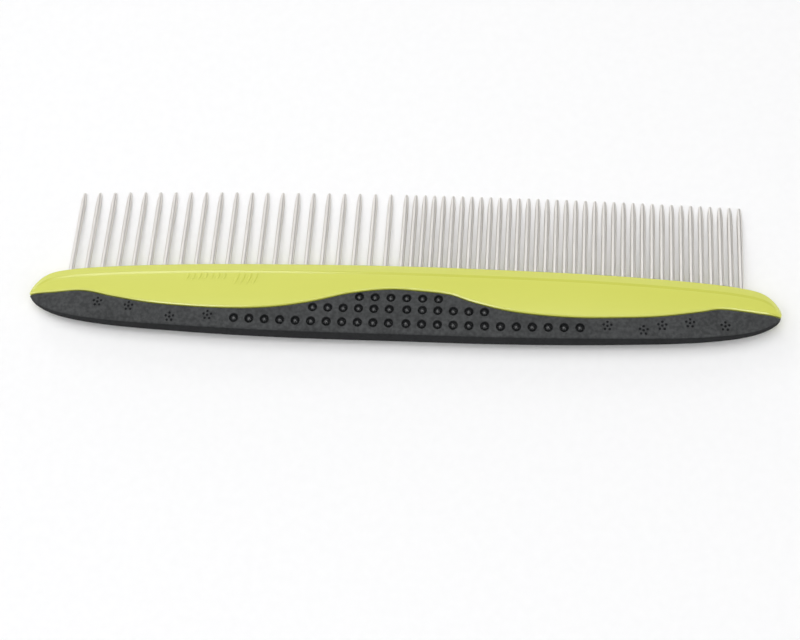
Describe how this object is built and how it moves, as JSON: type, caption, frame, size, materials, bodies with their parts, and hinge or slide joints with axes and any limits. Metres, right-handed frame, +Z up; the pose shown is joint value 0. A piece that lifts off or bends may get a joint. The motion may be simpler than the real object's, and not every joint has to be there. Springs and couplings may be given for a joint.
{
  "type": "two-density pet comb",
  "caption": "Flat pet grooming comb with one row of tapered round-tipped steel pins, wide-spaced and close-spaced, in a slim plastic spine with a soft moulded grip.",
  "frame": {"origin": "centre of the flat on the underside of the grip, where the comb rests", "axes": "+X along the handle towards the close-spaced pins, +Y along the pins towards their tips, +Z up out of the face"},
  "size_m": [0.211, 0.0463, 0.0082],
  "materials": {
    "green_plastic": "satin moulded hard plastic, lime green",
    "black_rubber": "fine matte soft-touch rubber, black",
    "pin_steel": "drawn and polished wire with ground tapered tips"
  },
  "bodies": {
    "root": {"spine": "green_plastic", "grip": "black_rubber", "coarse_pin_01": "pin_steel", "coarse_pin_02": "pin_steel", "coarse_pin_03": "pin_steel", "coarse_pin_04": "pin_steel", "coarse_pin_05": "pin_steel", "coarse_pin_06": "pin_steel", "coarse_pin_07": "pin_steel", "coarse_pin_08": "pin_steel", "coarse_pin_09": "pin_steel", "coarse_pin_10": "pin_steel", "coarse_pin_11": "pin_steel", "coarse_pin_12": "pin_steel", "coarse_pin_13": "pin_steel", "coarse_pin_14": "pin_steel", "coarse_pin_15": "pin_steel", "coarse_pin_16": "pin_steel", "coarse_pin_17": "pin_steel", "coarse_pin_18": "pin_steel", "coarse_pin_19": "pin_steel", "coarse_pin_20": "pin_steel", "coarse_pin_21": "pin_steel", "fine_pin_01": "pin_steel", "fine_pin_02": "pin_steel", "fine_pin_03": "pin_steel", "fine_pin_04": "pin_steel", "fine_pin_05": "pin_steel", "fine_pin_06": "pin_steel", "fine_pin_07": "pin_steel", "fine_pin_08": "pin_steel", "fine_pin_09": "pin_steel", "fine_pin_10": "pin_steel", "fine_pin_11": "pin_steel", "fine_pin_12": "pin_steel", "fine_pin_13": "pin_steel", "fine_pin_14": "pin_steel", "fine_pin_15": "pin_steel", "fine_pin_16": "pin_steel", "fine_pin_17": "pin_steel", "fine_pin_18": "pin_steel", "fine_pin_19": "pin_steel", "fine_pin_20": "pin_steel", "fine_pin_21": "pin_steel", "fine_pin_22": "pin_steel", "fine_pin_23": "pin_steel", "fine_pin_24": "pin_steel", "fine_pin_25": "pin_steel", "fine_pin_26": "pin_steel", "fine_pin_27": "pin_steel", "fine_pin_28": "pin_steel", "fine_pin_29": "pin_steel", "fine_pin_30": "pin_steel", "fine_pin_31": "pin_steel", "fine_pin_32": "pin_steel", "fine_pin_33": "pin_steel", "fine_pin_34": "pin_steel", "fine_pin_35": "pin_steel", "fine_pin_36": "pin_steel"}
  },
  "joints": []
}
